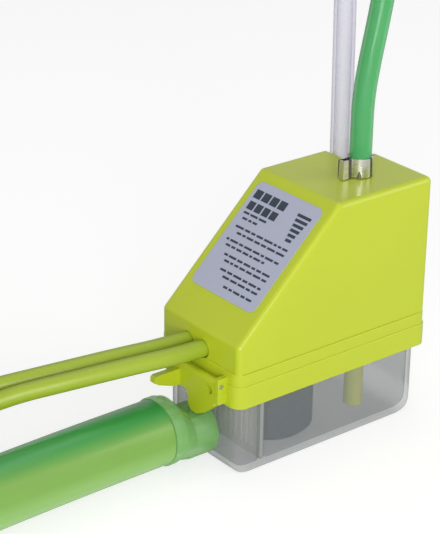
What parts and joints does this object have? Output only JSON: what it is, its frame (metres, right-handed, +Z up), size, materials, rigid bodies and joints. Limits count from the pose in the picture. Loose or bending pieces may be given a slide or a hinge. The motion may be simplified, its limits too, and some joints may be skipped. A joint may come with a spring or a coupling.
{
  "type": "condensate pump",
  "caption": "Small condensate pump: a wedge-shaped housing over a clear drop-down reservoir, with an inlet hose, a clamped discharge hose, a breather tube and two cables.",
  "frame": {"origin": "middle of the reservoir's flat underside", "axes": "+X from the inlet end to the back end with the corner notch, +Y to the flat wall side, +Z up"},
  "size_m": [0.2899, 0.1879, 0.1819],
  "materials": {
    "lime_shell": "glossy moulded lime plastic",
    "smoke_clear": "clear smoky plastic, read as glass for its see-through look",
    "label_film": "satin printed film",
    "pale_green": "translucent soft moulding",
    "hose_green": "clear green plastic hose",
    "tube_clear": "clear plastic tube",
    "cable_lime": "glossy cable sheath",
    "core_brown": "core insulation, brown, blue and yellow-green in turn",
    "steel": "zinc-plated steel",
    "copper": null,
    "black_nylon": "moulded nylon",
    "white_nylon": "moulded nylon",
    "brass_metal": "turned brass",
    "rubber_black": "soft rubber",
    "float_navy": "closed-cell foam",
    "magnet_grey": "sintered ferrite",
    "board_green": "coated circuit board",
    "can_aluminium": "drawn can"
  },
  "bodies": {
    "housing": {"upper_housing": "lime_shell", "base_plate": "lime_shell", "base_screws": "steel", "reservoir_gasket": "rubber_black", "rating_label": "label_film", "latch_pin": "steel", "inlet_manifold": "black_nylon", "suction_tube": "lime_shell", "rubber_mounts": "rubber_black", "yoke_frame": "steel", "coil_bobbin": "white_nylon", "coil_winding": "copper", "thermal_cutout": "black_nylon", "pump_tube": "brass_metal", "piston_return_spring": "steel", "piston_buffer_spring": "steel", "inlet_valve_body": "black_nylon", "inlet_valve_spring": "steel", "outlet_valve_body": "black_nylon", "outlet_valve_spring": "steel", "o_rings": "rubber_black", "discharge_spigot": "black_nylon", "discharge_clamp": "steel", "breather_spigot": "white_nylon", "circuit_board": "board_green", "board_screws": "steel", "relay": "black_nylon", "capacitor": "can_aluminium", "hall_sensor": "black_nylon", "cable_clamp": "black_nylon", "clamp_screws": "steel", "terminal_block": "white_nylon", "cable_inner_cores": "core_brown", "power_cable": "cable_lime", "power_cable_coil": "cable_lime", "power_cable_tie": "black_nylon", "power_cable_end": "cable_lime", "alarm_cable": "cable_lime", "alarm_cable_coil": "cable_lime", "alarm_cable_tie": "black_nylon", "alarm_cable_end": "cable_lime", "discharge_hose": "hose_green", "breather_tube": "tube_clear"},
    "reservoir": {"reservoir_tub": "smoke_clear", "strainer_plate": "white_nylon", "inlet_cuff": "pale_green", "inlet_hose": "hose_green"},
    "float": {"float_body": "float_navy", "float_magnet": "magnet_grey"},
    "latch": {"reservoir_latch": "lime_shell"},
    "piston": {"piston": "steel"},
    "inlet_ball": {"inlet_valve_ball": "rubber_black"},
    "outlet_ball": {"outlet_valve_ball": "rubber_black"}
  },
  "joints": [
    {"name": "reservoir_drop", "type": "slide", "parent": "housing", "child": "reservoir", "axis": [0, 0, -1], "range_m": [0, 0.03]},
    {"name": "float_rise", "type": "slide", "parent": "reservoir", "child": "float", "axis": [0, 0, 1], "range_m": [0, 0.0065]},
    {"name": "latch_swing", "type": "hinge", "parent": "housing", "child": "latch", "pos_m": [-0.0523, 0, 0.0385], "axis": [0, 1, 0], "range_deg": [0, 8]},
    {"name": "piston_stroke", "type": "slide", "parent": "housing", "child": "piston", "axis": [0, 0, 1], "range_m": [-0.0015, 0.0015], "stiffness_N_per_m": 400, "deforming": ["piston_return_spring", "piston_buffer_spring"]},
    {"name": "inlet_ball_lift", "type": "slide", "parent": "housing", "child": "inlet_ball", "axis": [0, 0, 1], "range_m": [0, 0.0008], "stiffness_N_per_m": 20, "deforming": ["inlet_valve_spring"]},
    {"name": "outlet_ball_lift", "type": "slide", "parent": "housing", "child": "outlet_ball", "axis": [0, 0, 1], "range_m": [0, 0.0008], "stiffness_N_per_m": 20, "deforming": ["outlet_valve_spring"]}
  ]
}
